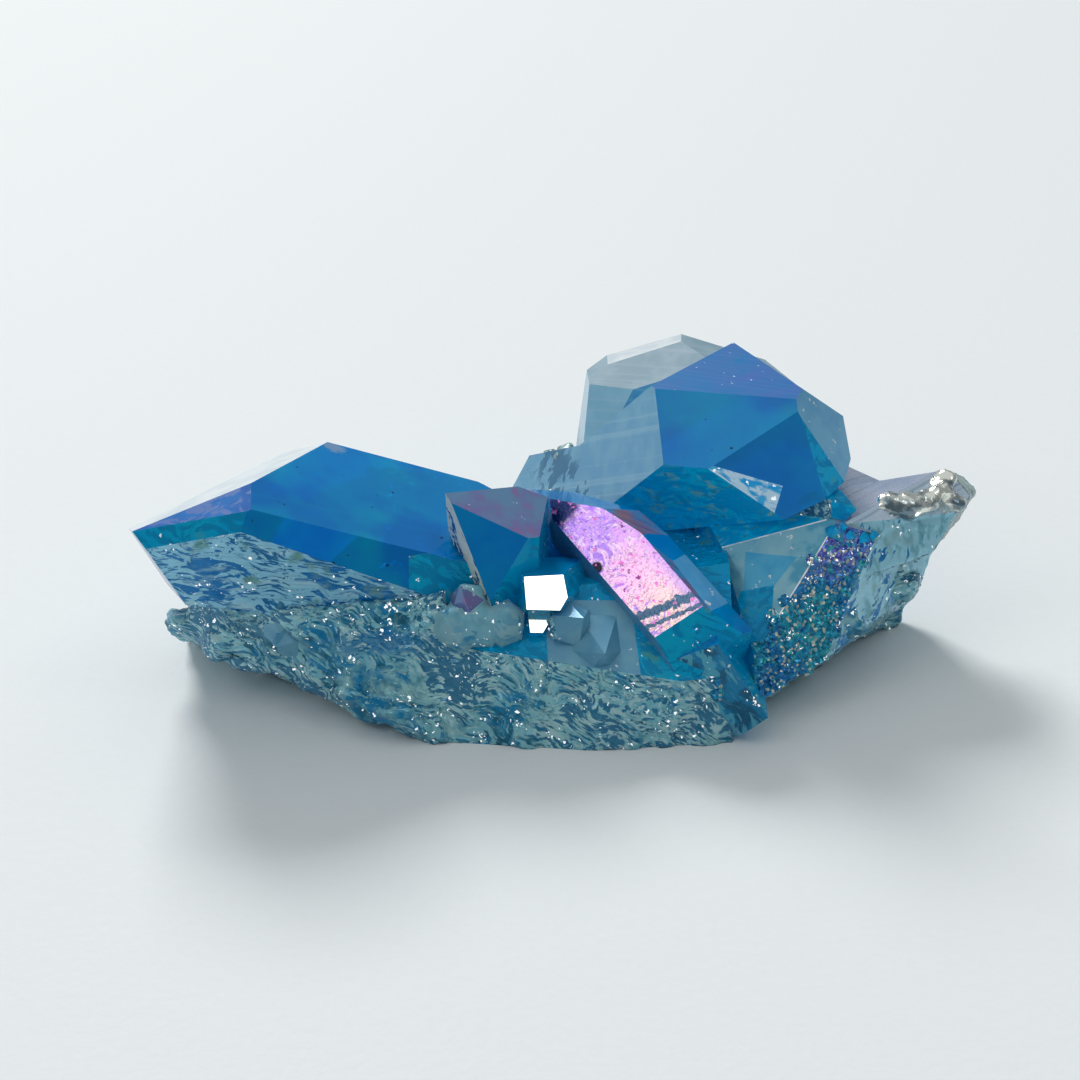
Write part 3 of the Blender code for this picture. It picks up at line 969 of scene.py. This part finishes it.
@dataclass(frozen=True)
class Coating:
    """One finish of the quartz: its base colour, the layers over it and its gloss."""

    name: str
    colour: Colour
    layers: tuple = ()
    roughness: float = 0.1
    roughness_spread: float = 0.05
    metallic: float = 0.0
    transmission: float = 0.0
    specular: float = 0.5
    specular_tint: Colour = (1.0, 1.0, 1.0)
    coat: float = 0.0
    grain_height: float = 0.01
    grain_scale: float = 1.5
    absorption: float = 0.0
    # painted light that the glass gives off
    glow: float = 0.0
    groups: dict[str, bpy.types.NodeTree] = field(default_factory=dict, compare=False)

    def mask(self, board: NodeBoard, place: object, item: object, state: dict) -> bpy.types.NodeSocket:
        """The mask of one layer. A layer with relief adds it to the height so far.

        Args:
            board: the material's board.
            place: the place in millimetres.
            item: the layer.
            state: the colour, roughness and height so far.

        Returns:
            The mask, from 0 to 1.
        """
        def group(name: str, **inputs: object) -> bpy.types.NodeOutputs:
            """The outputs of a shared group, placed with its own values."""
            return board.add("Group", {"node_tree": self.groups[name]}, Place=place, **inputs).outputs

        def raise_by(height: object) -> None:
            """Adds a height to the height so far."""
            state["height"] = board.math("ADD", state["height"], height)

        if isinstance(item, Cloud):
            stretched = board.vector("MULTIPLY", place, item.stretch)
            return board.span(board.noise(stretched, item.scale, 3.0, 0.55), item.low, item.high)
        if isinstance(item, Patch):
            found = group("patch", Centre=item.centre, Across=item.across, Softness=item.softness,
                          Raggedness=item.raggedness, Grain=item.grain)
            return board.math("MULTIPLY", found[0], item.strength)
        if isinstance(item, Sweep):
            way = Vector(item.end) - Vector(item.start)
            away = board.vector("SUBTRACT", place, item.start)
            along = board.vector("DOT_PRODUCT", away, tuple(way / way.length_squared))
            return board.math("MULTIPLY", board.span(along, 0.0, 1.0), item.strength)
        if isinstance(item, Band):
            found = group("band", Direction=item.direction, Middle=item.middle, Width=item.width,
                          Raggedness=item.raggedness, Grain=item.grain)
            return board.math("MULTIPLY", found[0], item.strength)
        if isinstance(item, Lines):
            found = group("lines", Direction=tuple(Vector(item.direction).normalized()), Pitch=item.pitch)
            mask = board.math("MULTIPLY", board.span(found[0], item.low, item.high), item.strength)
            raise_by(board.math("MULTIPLY", found[0], item.height * 3.0))
            return mask
        if isinstance(item, Specks):
            return group("specks", Size=item.size, Share=item.share)[0]
        if isinstance(item, Film):
            found = group("film", Flow=tuple(Vector(item.flow).normalized()), Stretch=item.stretch,
                          Grain=item.grain, Bare=item.bare, Edge=item.edge, Drift=item.drift)
            mask = board.math("MULTIPLY", found[0], item.strength)
            if item.within:
                near = group("patch", Centre=item.within[0], Across=item.within[1])
                mask = board.math("MULTIPLY", mask, near[0])
            if item.height:
                raise_by(board.math("MULTIPLY", mask, item.height))
            return mask
        found = group("facets", Size=item.size, Slope=item.slope)
        raise_by(found["Height"])
        return board.math("LESS_THAN", found["Pick"], item.share)

    def build(self) -> bpy.types.Material:
        """Makes the material.

        Returns:
            The material.
        """
        material = bpy.data.materials.new(self.name)
        material.use_nodes = True
        board = NodeBoard(material.node_tree)
        shader = material.node_tree.nodes["Principled BSDF"]
        place = board.add("Group", {"node_tree": self.groups["place"]}).outputs[0]
        grain = board.noise(place, self.grain_scale, 3.0, 0.6)
        # The emission carries painted light: the glow of the glass and the glints of shining specks.
        state = {"colour": self.colour, "light": tuple(part * self.glow for part in GLOW_TINT),
                 "roughness": board.math("MULTIPLY_ADD", grain, self.roughness_spread, self.roughness),
                 "height": board.math("MULTIPLY", grain, self.grain_height * 2.0)}
        for item in self.layers:
            mask = self.mask(board, place, item, state)
            state["colour"] = board.mix(mask, state["colour"], item.colour)
            if item.roughness is not None:
                state["roughness"] = board.blend(mask, state["roughness"], item.roughness)
            if isinstance(item, Specks) and item.shine:
                state["light"] = board.mix(mask, state["light"], (item.shine,) * 3)
        bump = board.add("Bump", None, Strength=1.0, Distance=MM, Height=state["height"])
        values = {"Base Color": state["colour"], "Roughness": state["roughness"],
                  "Emission Color": state["light"], "Emission Strength": 1.0, "Normal": bump.outputs[0],
                  "Metallic": self.metallic, "Transmission Weight": self.transmission,
                  "IOR": QUARTZ_INDEX, "Specular IOR Level": self.specular,
                  "Specular Tint": self.specular_tint, "Coat Weight": self.coat,
                  "Coat Roughness": COAT_ROUGHNESS}
        for socket, value in values.items():
            board.put(shader.inputs[socket], value)
        if self.absorption:
            volume = board.add("VolumeAbsorption", None, Color=ABSORBED_TINT, Density=self.absorption)
            out = material.node_tree.nodes["Material Output"]
            material.node_tree.links.new(volume.outputs[0], out.inputs["Volume"])
        return material


FACE_FLOW: Point = (0.85, 0.1, -0.5)
ETCH_FLOW: Point = (0.95, 0.1, -0.3)
SIDE_FLOW: Point = (0.5, 0.45, 0.75)
BLADE_WAY: Point = (0.286, -0.730, -0.621)
STRIATED_ACROSS: Point = (0.43, -0.49, -0.39)
STREAK_ACROSS: Point = (0.15, 0.55, 0.8)
# Near-white specks, partly real chips and partly painted glints; with shine they give off light as well.
WHITE_CHIP_AND_GLINT = tone(225, 235, 235)
NAVY = tone(10, 40, 95)


def glass(colour: Colour, second: Colour, *layers: object, **more: object) -> dict:
    """The values of a see-through blue glass.

    Args:
        colour: its colour.
        second: the colour of its soft clouds.
        layers: what lies over them.
        more: other values.

    Returns:
        The values of the coating.
    """
    values = dict(colour=colour, layers=(Cloud(second, 0.12), *layers), transmission=0.45, specular=0.5,
                  specular_tint=(0.25, 0.6, 1.0), absorption=110.0, roughness=0.05, grain_height=0.004)
    return values | more


def film(colour: Colour, second: Colour, *layers: object, **more: object) -> dict:
    """The values of a crystal face under a thin metal film.

    Args:
        colour: its colour.
        second: the colour of its soft clouds.
        layers: what lies over them.
        more: other values.

    Returns:
        The values of the coating.
    """
    values = dict(colour=colour, layers=(Cloud(second, 0.25), *layers), metallic=0.3, roughness=0.16,
                  grain_height=0.006)
    return values | more


COATINGS: dict[Finish, dict] = {
    F.AURA: glass(tone(0, 162, 240), tone(0, 180, 238), Cloud(tone(0, 140, 236), 0.07, 0.45, 0.6),
                  Patch(tone(150, 190, 225), (-22.6, 9.4, 24.7), (1.3, 1.0, 0.9), 0.3, 0.8, 1.6),
                  Specks(tone(0, 40, 90), 0.5, 0.006),
                  Lines(tone(20, 175, 240), STREAK_ACROSS, 1.6, 0.25, 0.55, 0.7, 0.002)),
    F.DEEP: glass(tone(0, 145, 240), tone(0, 162, 240)),
    F.TEAL: glass(tone(0, 190, 250), tone(15, 200, 245), Cloud(tone(90, 185, 175), 0.3, 0.57, 0.72),
                  Film(tone(0, 160, 215), FACE_FLOW, 0.3, 1.2, 0.55, 0.06, 0.3, 0.0),
                  Specks(WHITE_CHIP_AND_GLINT, 0.35, 0.012, shine=0.5), glow=0.04),
    F.LENS: glass(tone(0, 190, 230), tone(30, 200, 215), Cloud(tone(150, 185, 140), 0.45, 0.5, 0.66),
                  Film(tone(0, 150, 200), (0.9, -0.4, 0.2), 0.4, 1.1, 0.5, 0.08, 0.4, 0.0),
                  Cloud(tone(70, 130, 115), 1.1, 0.6, 0.7), transmission=0.3, glow=0.13),
    F.VEIL: glass(tone(20, 160, 225), tone(120, 205, 235),
                  Film(tone(235, 250, 250), (0.85, -0.1, -0.5), 0.3, 0.8, 0.52, 0.08, 0.3, 0.03),
                  Specks(WHITE_CHIP_AND_GLINT, 0.6, 0.1, shine=0.6), transmission=0.2, glow=0.14),
    # The pink and peach sweeps, the near-white mottled film and the pink clouds paint the key light's
    # highlight over the violet film: partly the film's own tint, partly painted highlight.
    F.VIOLET: film(tone(190, 140, 250), tone(215, 160, 250),
                   Sweep(tone(252, 190, 235), (4.9, -0.2, 17.4), (9.0, -4.0, 15.5)),
                   Sweep(tone(255, 214, 205), (9.0, -4.0, 15.5), (13.5, -8.5, 13.5)),
                   Sweep(tone(150, 110, 245), (9.0, -1.0, 18.5), (11.5, 0.5, 19.0), 0.8),
                   Film(tone(255, 225, 250), (0.4, 0.6, -0.7), 0.5, 2.4, 0.55, 0.1, 0.5, 0.015, 0.7),
                   Film(tone(178, 128, 248), (0.4, 0.6, -0.7), 0.5, 1.6, 0.62, 0.08, 0.5, 0.0, 0.8),
                   Patch(NAVY, (1.4, 3.8, 20.0), (2.6, 2.6, 2.6), 0.3, 0.6, 0.8),
                   Band(tone(75, 105, 135), BLADE_WAY, 0.66, 0.6, 1.9, 1.3),
                   Band(tone(85, 110, 140), BLADE_WAY, 1.95, 0.3, 1.1, 1.3),
                   Patch(tone(30, 20, 50), (6.1, -2.3, 15.7), (0.7, 0.7, 0.7), 0.2, 0.3, 1.0),
                   Cloud(tone(240, 130, 205), 1.3, 0.6, 0.68), Specks(tone(130, 60, 130), 0.55, 0.06),
                   metallic=0.6, roughness=0.14, grain_height=0.04, grain_scale=1.8),
    F.TIP: film(tone(10, 88, 165), tone(15, 105, 180),
                # The violet patch is a painted glare of the light on the tip's film.
                Patch(tone(105, 110, 235), (-29.3, -1.5, 24.0), (3.6, 3.0, 2.0), 0.3, 0.6, 0.8, 0.9),
                Film(tone(15, 85, 160), (0.9, 0.1, 0.3), 0.5, 0.9, 0.53, 0.06, 0.2, 0.0), metallic=0.0,
                specular=0.03, roughness=0.45),
    F.INDIGO: film(tone(47, 105, 166), tone(20, 108, 168), Cloud(tone(60, 99, 168), 0.1, 0.45, 0.65),
                   Lines(tone(150, 165, 220), (0.6, 0.8, 0.0), 0.8, 0.05, height=0.004),
                   Specks(tone(190, 215, 240), 0.35, 0.01), metallic=0.0, specular=0.05, roughness=0.35),
    F.SLATE: film(tone(90, 158, 195), tone(108, 170, 200),
                  Lines(tone(150, 195, 212), STREAK_ACROSS, 1.3, 0.4, 0.5, 0.62, 0.004),
                  Film(tone(0, 110, 150), (0.2, -0.3, 0.9), 0.35, 0.7, 0.52, 0.02, 0.4, 0.01,
                       within=((2.5, 24.5, 12.5), (8.5, 12.0, 3.6)))),
    F.DARK_SLATE: film(tone(74, 140, 180), tone(92, 152, 190),
                       Lines(tone(120, 170, 200), (0.3, 0.5, 0.8), 0.5, 0.2)),
    F.RIGHT_SLATE: film(tone(90, 168, 215), tone(108, 180, 222), Cloud(WHITE_CHIP_AND_GLINT, 0.8, 0.66, 0.7)),
    # Pale facets: a pale film with the sheen of the light partly painted into its colour.
    F.PALE: film(tone(205, 215, 220), tone(185, 198, 208), metallic=0.1, roughness=0.3),
    F.BACK_PALE: film(tone(118, 148, 165), tone(135, 162, 176),
                      Lines(tone(155, 178, 190), STREAK_ACROSS, 1.2, 0.35, height=0.004), metallic=0.0,
                      roughness=0.35, specular=0.2),
    # A lightened copy of the back pale film for its front side, which the lamps leave dark: painted light.
    F.BACK_SIDE: film(tone(160, 212, 232), tone(175, 220, 236),
                      Lines(tone(195, 225, 238), STREAK_ACROSS, 1.2, 0.3, height=0.004), metallic=0.1),
    F.PLUM: film(tone(98, 138, 176), tone(112, 115, 170), Cloud(tone(140, 105, 155), 0.5, 0.57, 0.7),
                 Specks(tone(200, 210, 225), 0.5, 0.02), metallic=0.4),
    F.COPPER: film(tone(130, 115, 150), tone(160, 105, 105), Cloud(tone(80, 140, 190), 0.4, 0.45, 0.6),
                   Lines(tone(30, 60, 110), (0.3, 0.9, 0.2), 0.7, 0.4), metallic=0.4),
    F.LILAC: film(tone(150, 165, 190), tone(165, 175, 195),
                  Lines(tone(100, 122, 150), STRIATED_ACROSS, 0.45, 0.6, 0.52, 0.64, 0.015),
                  metallic=0.2, roughness=0.25),
    # A lightened copy of the striated lilac for its lower face, which the lamps leave dark: painted light.
    F.LOW_LILAC: film(tone(195, 218, 238), tone(205, 222, 240),
                      Lines(tone(110, 140, 172), STRIATED_ACROSS, 0.45, 0.7, 0.52, 0.64, 0.015),
                      metallic=0.2, roughness=0.25),
    F.SILVER: film(tone(118, 180, 200), tone(140, 190, 205), Specks(WHITE_CHIP_AND_GLINT, 0.35, 0.03),
                   Cloud(tone(80, 158, 188), 0.3, 0.5, 0.65), metallic=0.2, roughness=0.2, specular=0.3),
    F.LOW_SILVER: film(tone(62, 160, 205), tone(85, 175, 212), Specks(WHITE_CHIP_AND_GLINT, 0.35, 0.02), metallic=0.2,
                       roughness=0.2, specular=0.3),
    F.MIRROR: dict(colour=(1.0, 0.99, 0.93), layers=(Cloud(tone(250, 248, 225), 0.5),), metallic=1.0,
                   roughness=0.08, grain_height=0.004),
    # A mirror knob; its pale shining specks are painted glints.
    F.KNOB: dict(colour=tone(238, 240, 230), layers=(
        Cloud(tone(120, 140, 150), 0.4, 0.45, 0.62), Specks(tone(250, 245, 220), 0.7, 0.08, 0.05, 0.7)),
        metallic=0.9, roughness=0.12, grain_height=0.04),
    F.ETCHED: dict(colour=tone(5, 112, 178), layers=(
        Film(tone(140, 200, 226), ETCH_FLOW, 0.2, 1.5, 0.42, 0.04, 0.9, 0.05, 1.0, 0.28),
        Cloud(tone(165, 210, 226), 0.6, 0.5, 0.72, (0.4, 1.0, 1.2)),
        Film(tone(8, 105, 160), ETCH_FLOW, 0.2, 2.6, 0.68, 0.04, 0.8, 0.0, 1.0, 0.1),
        Lines(tone(60, 120, 150), (0.1, 0.3, 0.95), 0.4, 0.25, 0.5, 0.6, 0.015),
        Cloud(tone(100, 150, 150), 0.3, 0.56, 0.7), Specks(WHITE_CHIP_AND_GLINT, 0.4, 0.035, shine=0.7)),
        metallic=0.2, roughness=0.12, grain_height=0.03, specular_tint=(0.5, 0.8, 1.0)),
    F.MATRIX: dict(colour=tone(15, 125, 172), layers=(
        Cloud(tone(25, 95, 120), 0.5, 0.45, 0.62),
        Film(tone(122, 184, 198), FACE_FLOW, 0.25, 1.5, 0.42, 0.05, 0.7, 0.07, 1.0, 0.3),
        Cloud(tone(155, 205, 208), 0.3, 0.46, 0.7), Cloud(tone(88, 152, 170), 0.9, 0.48, 0.72),
        Patch(tone(10, 110, 168), (-17.0, -9.2, 10.2), (6.5, 3.0, 1.3), 0.3, 0.9, 0.9, 0.7),
        Patch(tone(12, 95, 130), (-31.0, -5.5, 9.8), (4.0, 3.0, 1.3), 0.3, 0.9, 1.0, 0.7),
        Film(tone(175, 212, 215), FACE_FLOW, 0.25, 2.4, 0.58, 0.06, 0.9, 0.0, 0.8, 0.2),
        Film(tone(15, 105, 145), FACE_FLOW, 0.25, 2.2, 0.62, 0.05, 0.9, 0.0, 0.9, 0.1),
        Specks(WHITE_CHIP_AND_GLINT, 0.42, 0.06, 0.05, 0.7)),
        metallic=0.15, roughness=0.12, grain_height=0.09, grain_scale=0.9, specular_tint=(0.6, 0.85, 1.0)),
    # The pale shining specks of the blade are painted glints.
    F.BLADE: dict(colour=tone(5, 120, 165), layers=(
        Cloud(tone(10, 85, 120), 0.5, 0.45, 0.62),
        Film(tone(80, 160, 185), (0.5, -0.3, -0.8), 0.2, 1.4, 0.56, 0.06, 1.4, 0.05, 0.9, 0.25),
        Specks(tone(240, 225, 185), 0.45, 0.05, 0.05, 0.7)),
        metallic=0.15, roughness=0.12, grain_height=0.07, grain_scale=0.9, specular_tint=(0.6, 0.85, 1.0)),
    F.FLOW: dict(colour=tone(10, 120, 185), layers=(
        Film(tone(150, 208, 228), SIDE_FLOW, 0.25, 1.2, 0.37, 0.03, 0.45, 0.05, 1.0, 0.3),
        Cloud(tone(110, 172, 190), 0.9, 0.5, 0.66, (1.0, 1.0, 0.5)),
        Cloud(tone(130, 175, 180), 0.2, 0.56, 0.7), Specks(WHITE_CHIP_AND_GLINT, 0.36, 0.03, shine=0.6)),
        metallic=0.2, roughness=0.14, grain_height=0.02),
    # The near-white sparkle cells and the shining specks of the druse are painted glints over its tiny
    # faces.
    F.DRUSE: dict(colour=tone(15, 155, 188), layers=(
        Cloud(tone(10, 125, 190), 0.25, 0.42, 0.6),
        Patch(tone(105, 115, 215), (29.0, 0.5, 18.0), (8.0, 4.0, 4.0), 0.5, 0.9),
        Cloud(tone(60, 185, 195), 1.2, 0.5, 0.7), Sparkle(tone(225, 228, 215), 0.3, 1.8, 0.12, 0.08),
        Specks(tone(245, 238, 215), 0.36, 0.09, 0.05, 0.75)),
        metallic=0.5, roughness=0.12, coat=0.2, grain_height=0.02),
    F.STONE: dict(colour=tone(70, 115, 125), layers=(
        Film(tone(125, 155, 155), FACE_FLOW, 0.5, 0.7, 0.45, 0.04, 0.4, 0.04),
        Specks(WHITE_CHIP_AND_GLINT, 0.5, 0.03)),
        metallic=0.15, roughness=0.2, grain_height=0.03),
    F.NUB: film(tone(95, 155, 180), tone(122, 180, 195), Cloud(tone(45, 130, 170), 0.5, 0.56, 0.66),
                Film(tone(125, 172, 185), FACE_FLOW, 0.4, 0.8, 0.52, 0.05, 0.5, 0.03),
                Specks(WHITE_CHIP_AND_GLINT, 0.35, 0.03, shine=0.6), metallic=0.0, roughness=0.3, specular=0.3),
    F.PLATE: film(tone(90, 150, 182), tone(105, 162, 186), Specks(WHITE_CHIP_AND_GLINT, 0.3, 0.01), metallic=0.15,
                  roughness=0.3),
    F.CRACKLED: dict(colour=tone(20, 95, 150), layers=(
        Film(tone(215, 222, 212), (0.2, -0.5, -0.8), 0.5, 1.0, 0.47, 0.03, 0.3, 0.05),),
        roughness=0.2),
    # Pale chamfers on the crisp edges: partly real chips, partly a painted edge highlight.
    F.EDGE: film(tone(110, 185, 225), tone(175, 218, 238), Cloud(tone(40, 140, 215), 0.7, 0.5, 0.6),
                 metallic=0.2),
    # Near-white chamfers on the edges that catch the light: painted highlight.
    F.GLINT: dict(colour=(0.97, 0.98, 0.98), layers=(Cloud(tone(200, 215, 225), 0.8),), roughness=0.2),
}


# Where every lamp points, in metres.
LAMP_AIM: Point = (0.0, 0.0, 0.01)


@dataclass(frozen=True)
class Lamp:
    """A soft square light that points at the cluster: metres and watts."""

    name: str
    place: Point
    side: float
    power: float
    tint: Colour

    def hang(self) -> None:
        """Makes the light."""
        data = bpy.data.lights.new(self.name, "AREA")
        data.shape = "SQUARE"
        data.size = self.side
        data.energy = self.power
        data.color = self.tint
        obj = into_scene(self.name, data)
        obj.location = self.place
        way = Vector(LAMP_AIM) - Vector(self.place)
        obj.rotation_euler = way.to_track_quat("-Z", "Y").to_euler()


LAMPS: tuple[Lamp, ...] = (
    Lamp("window", (-0.62, 1.66, 1.46), 0.8, 42.0, (1.0, 0.99, 0.975)),
    Lamp("overhead", (0.0, 0.0, 0.5), 0.8, 0.7, (0.97, 0.99, 1.0)),
    Lamp("right_card", (0.27, -0.17, 0.46), 0.16, 0.14, (1.0, 1.0, 0.97)),
    Lamp("left_card", (-0.41, -0.24, 0.46), 0.3, 0.42, (1.0, 1.0, 1.0)),
)


@dataclass
class Studio:
    """The pale table, the soft light and the camera at the photographed angle."""

    elevation: float = 28.0
    distance: float = 220.0
    target: Point = (0.0, 0.0, 17.9)
    focal_pixels: float = 2041.0
    frame_pixels: float = 1080.0
    table_reach: float = 1.5
    sky: tuple[float, float, float, float] = (0.85, 0.92, 0.95, 1.0)
    sky_strength: float = 0.3

    def camera(self) -> None:
        """Sets the camera on the target."""
        data = bpy.data.cameras.new("photo_camera")
        data.sensor_fit = "HORIZONTAL"
        data.sensor_width = SENSOR_WIDTH
        data.lens = SENSOR_WIDTH * self.focal_pixels / self.frame_pixels
        data.clip_start = 0.01
        data.clip_end = 20.0
        tilt = math.radians(self.elevation)
        ahead = Vector((0, math.cos(tilt), -math.sin(tilt)))
        obj = into_scene("photo_camera", data)
        obj.location = (Vector(self.target) - BOX_CENTRE - ahead * self.distance) * MM
        obj.rotation_euler = (math.radians(90) - tilt, 0, 0)
        bpy.context.scene.camera = obj

    def table(self) -> None:
        """Makes the pale table top."""
        bm = bmesh.new()
        bmesh.ops.create_grid(bm, x_segments=2, y_segments=2, size=self.table_reach)
        mesh = bpy.data.meshes.new("table")
        bm.to_mesh(mesh)
        bm.free()
        material = bpy.data.materials.new("pale_card")
        material.use_nodes = True
        board = NodeBoard(material.node_tree)
        shader = material.node_tree.nodes["Principled BSDF"]
        spot = board.add("TexCoord").outputs["Object"]
        grain = board.noise(spot, 900.0, 4.0, 0.6)
        board.put(shader.inputs["Base Color"], board.mix(grain, (0.76, 0.79, 0.8), (0.79, 0.82, 0.83)))
        shader.inputs["Roughness"].default_value = 0.6
        shader.inputs["Specular IOR Level"].default_value = 0.05
        bump = board.add("Bump", None, Strength=0.15, Distance=0.0003, Height=grain)
        board.put(shader.inputs["Normal"], bump.outputs[0])
        mesh.materials.append(material)
        into_scene("table", mesh)

    def build(self) -> None:
        """Makes the whole studio."""
        self.camera()
        self.table()
        for lamp in LAMPS:
            lamp.hang()
        world = bpy.data.worlds.new("studio")
        bpy.context.scene.world = world
        world.use_nodes = True
        back = world.node_tree.nodes["Background"]
        back.inputs["Color"].default_value = self.sky
        back.inputs["Strength"].default_value = self.sky_strength
        bpy.context.scene.view_settings.view_transform = "Standard"


def dress(obj: bpy.types.Object) -> None:
    """Gives the cluster its finishes, in the order of the list of finishes.

    Args:
        obj: the cluster.
    """
    groups = {"place": place_group(), "patch": patch_group(), "band": band_group(), "lines": lines_group(),
              "film": film_group(), "facets": facets_group(), "specks": specks_group()}
    for finish in Finish:
        coating = Coating(name=finish.value, groups=groups, **COATINGS[finish])
        obj.data.materials.append(coating.build())
        log.info("finish %s", finish.value)


def main() -> None:
    """Builds the cluster and the studio."""
    logging.basicConfig(level=logging.INFO, format="%(name)s %(message)s")
    Studio().build()
    cluster = ClusterSkin().build()
    dress(cluster)
    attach(cluster, "root")
    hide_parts(NODE)


if __name__ == "__main__":
    main()
